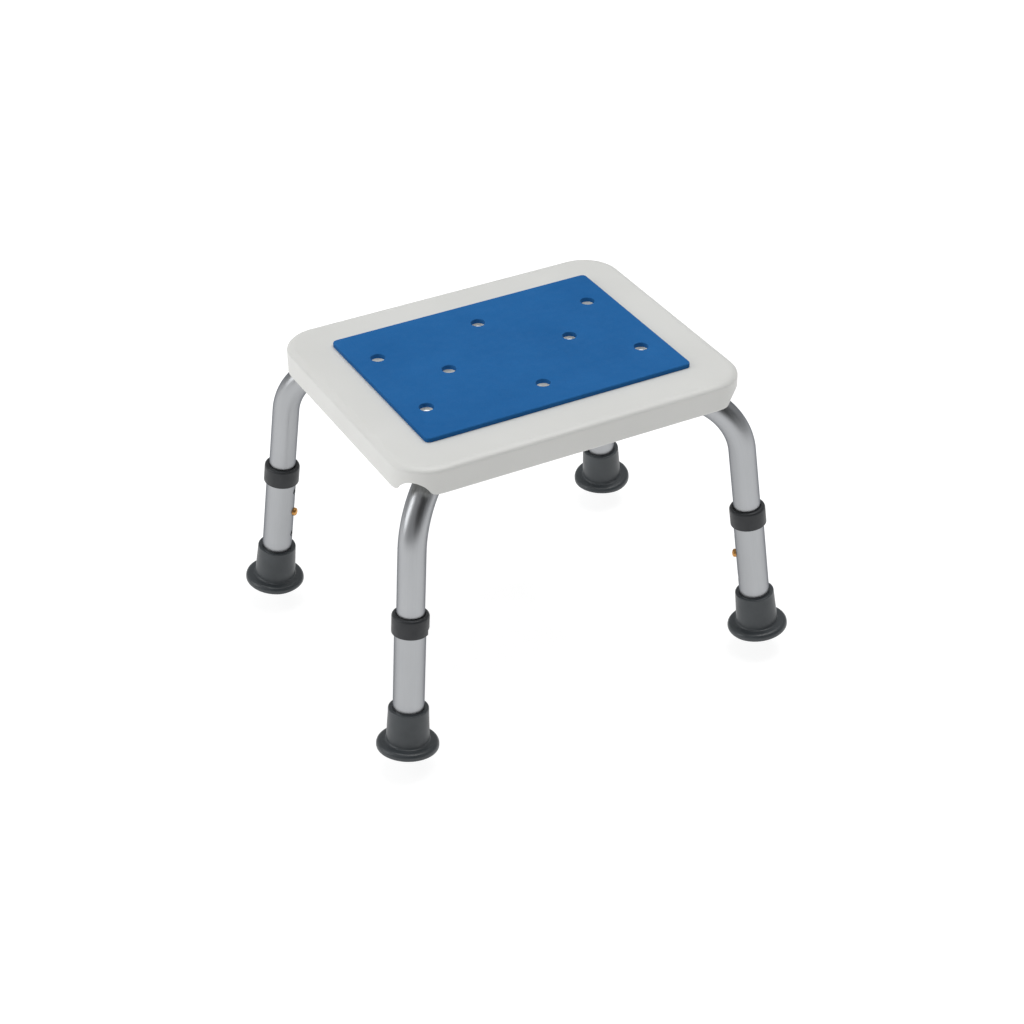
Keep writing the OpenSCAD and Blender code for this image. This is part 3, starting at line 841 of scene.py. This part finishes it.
def spring(leg, placed):
    """Bent steel strip inside the tube: one side carries the button, the other bears on the bore."""
    inner = SPRING_FACE - SPRING_T
    outline = [(-SPRING_FACE, -SPRING_BELOW), (-SPRING_FACE, 0)]
    outline += arc((0, SPRING_ABOVE), SPRING_FACE, 180, 0, 24)
    outline += [(SPRING_FACE, 0), (SPRING_FACE, -SPRING_BELOW), (inner, -SPRING_BELOW), (inner, 0)]
    outline += arc((0, SPRING_ABOVE), inner, 0, 180, 24)
    outline += [(-inner, 0), (-inner, -SPRING_BELOW)]
    strip = moved(prism(outline, -SPRING_W / 2, SPRING_W / 2), spun(90, "X"))
    strip = combined(strip, [round_bar(RIVET_R, SPRING_FACE + OVERCUT, spun(-90, "Y"))])
    at_button = placed @ shift(0, 0, BUTTON_AT * MM)
    start, end = (at_button @ Vector((share * inner * MM, 0, 0)) for share in (SPRING_STILL, SPRING_MOVED))
    show("leg_spring_" + leg, strip, ZINC_STEEL, "frame", "button_spring_" + leg,
         at_button, bend=("button_" + leg, start, end))


# ---------------------------------------------------------------- the stool

show("seat_shell", seat_shell(), SEAT_PLASTIC, "frame", "seat")
pad = show("foam_pad", foam_pad(), PAD_FOAM, "frame", "seat_pad")
bent_tube("upper_bent_tube", "upper_cross_tube", "back_right", dent_up=False)
bent_tube("lower_bent_tube", "lower_cross_tube", "front_right", dent_up=True)
for leg, placed in LEG_FRAMES.items():
    leg_tube(leg, placed)
    collar(leg, placed)
    foot(leg, placed)
    button(leg, placed)
    spring(leg, placed)

STEEL_NODES = ["centre_bolt", "centre_washers", "centre_nut", "seat_screws", "screw_washers"]
STEEL_NODES += ["foot_disc_" + leg for leg in LEGS]
for names, material in ((STEEL_NODES, ZINC_STEEL), (["threaded_inserts"], INSERT_BRASS)):
    for name in names:
        frame["nodes"][name].data.materials.clear()
        frame["nodes"][name].data.materials.append(material)


# ---------------------------------------------------------------- stage, light and camera

def floor():
    """White floor at the lowest point that the feet reach, glowing a little less under the stool as painted
    shade. It is seen only from above.
    """
    bm = bmesh.new()
    bmesh.ops.create_grid(bm, x_segments=8, y_segments=8, size=6)
    obj = new_object("floor", bm)
    slides = [JOINTS["leg_slide_" + leg] for leg in LEGS]
    clearance = 0.0002
    obj.location.z = min(slide["axis"][2] * slide["range_m"][1] for slide in slides) - clearance
    finish = Finish("floor_white", Base_Color=(0.3, 0.3, 0.3, 1), Roughness=0.9, Specular_IOR_Level=0.1,
                    Emission_Color=(1, 1, 1, 1))
    away = finish.node("VectorMath", operation="LENGTH")
    finish.link(finish.coordinates(), away.inputs[0])
    # The glow is even far out and falls towards the middle: painted shade where a real floor would lie in
    # the stool's shade.
    glow_with_painted_shade = finish.ranged(away.outputs["Value"], 0.86, 0.95, start=0.2, end=0.7)
    finish.link(glow_with_painted_shade, finish.shader.inputs["Emission Strength"])
    one_sided = finish.node("MixShader")
    finish.link(finish.node("NewGeometry").outputs["Backfacing"], one_sided.inputs[0])
    finish.link(finish.shader.outputs[0], one_sided.inputs[1])
    finish.link(finish.node("BsdfTransparent").outputs[0], one_sided.inputs[2])
    finish.link(one_sided.outputs[0], finish.tree.nodes["Material Output"].inputs["Surface"])
    obj.data.materials.append(finish.material)


def soft_box(name, place, target, size, power):
    """Rectangular area light that faces a target."""
    light = bpy.data.lights.new(name, "AREA")
    light.shape = "RECTANGLE"
    light.size, light.size_y = size
    light.energy = power
    obj = bpy.data.objects.new(name, light)
    scene.collection.objects.link(obj)
    obj.location = place
    obj.rotation_euler = (Vector(target) - Vector(place)).to_track_quat("-Z", "Y").to_euler()


def dimmed(tree, direction, towards, inner, outer, share):
    """1 all round, falling to a share of it within inner degrees of a direction."""
    dot = tree.nodes.new("ShaderNodeVectorMath")
    dot.operation = "DOT_PRODUCT"
    dot.inputs[1].default_value = Vector(towards).normalized()
    tree.links.new(direction, dot.inputs[0])
    fade = tree.nodes.new("ShaderNodeMapRange")
    fade.interpolation_type = "SMOOTHSTEP"
    ends = (math.cos(math.radians(outer)), math.cos(math.radians(inner)), 1, share)
    for socket, value in zip(("From Min", "From Max", "To Min", "To Max"), ends):
        fade.inputs[socket].default_value = value
    tree.links.new(dot.outputs["Value"], fade.inputs["Value"])
    return fade.outputs["Result"]


def times(tree, first, second):
    """Product of an output and another output or a number."""
    node = tree.nodes.new("ShaderNodeMath")
    node.operation = "MULTIPLY"
    tree.links.new(first, node.inputs[0])
    if isinstance(second, float):
        node.inputs[1].default_value = second
    else:
        tree.links.new(second, node.inputs[1])
    return node.outputs["Value"]


def studio():
    """A pale room with dark gear high in front of the stool and to its right, and two wide soft lights."""
    room_strength = 0.42
    world = bpy.data.worlds.new("studio")
    world.use_nodes = True
    tree = world.node_tree
    direction = tree.nodes.new("ShaderNodeTexCoord").outputs["Generated"]
    gear = dimmed(tree, direction, towards=(0.0, -0.81, 0.58), inner=16, outer=38, share=0.02)
    stand = dimmed(tree, direction, towards=(0.67, -0.57, 0.47), inner=5, outer=16, share=0.1)
    background = tree.nodes["Background"]
    background.inputs["Color"].default_value = (0.98, 0.99, 1, 1)
    strength = times(tree, times(tree, gear, stand), room_strength)
    tree.links.new(strength, background.inputs["Strength"])
    scene.world = world
    soft_box("key_left", place=(-2.2, 0.6, 1.3), target=(0, 0, 0.2), size=(1.1, 1.9), power=17.5)
    soft_box("overhead", place=(0.35, 0.0, 2.3), target=(0, 0, 0.1), size=(1.6, 1.6), power=29)
    scene.view_settings.view_transform = "Standard"


def camera():
    """Looks down at the front left leg, through a long lens."""
    azimuth, elevation, roll = (math.radians(angle) for angle in (-28.06, 33.78, -0.55))
    target = Vector((0, 0, 0.1689))
    distance, aside, below = 2.232, 0.0010, 0.0522
    back = Vector((math.sin(azimuth) * math.cos(elevation), -math.cos(azimuth) * math.cos(elevation),
                   math.sin(elevation)))
    level = Vector((math.cos(azimuth), math.sin(azimuth), 0))
    rise = back.cross(level)
    right = level * math.cos(roll) + rise * math.sin(roll)
    up = rise * math.cos(roll) - level * math.sin(roll)
    lens = bpy.data.cameras.new("camera")
    lens.sensor_width = 36
    lens.lens = 83.16
    obj = bpy.data.objects.new("camera", lens)
    scene.collection.objects.link(obj)
    placed = Matrix((right, up, back)).transposed().to_4x4()
    placed.translation = target + back * distance + right * aside - up * below
    obj.matrix_world = placed
    scene.camera = obj


floor()
studio()
camera()
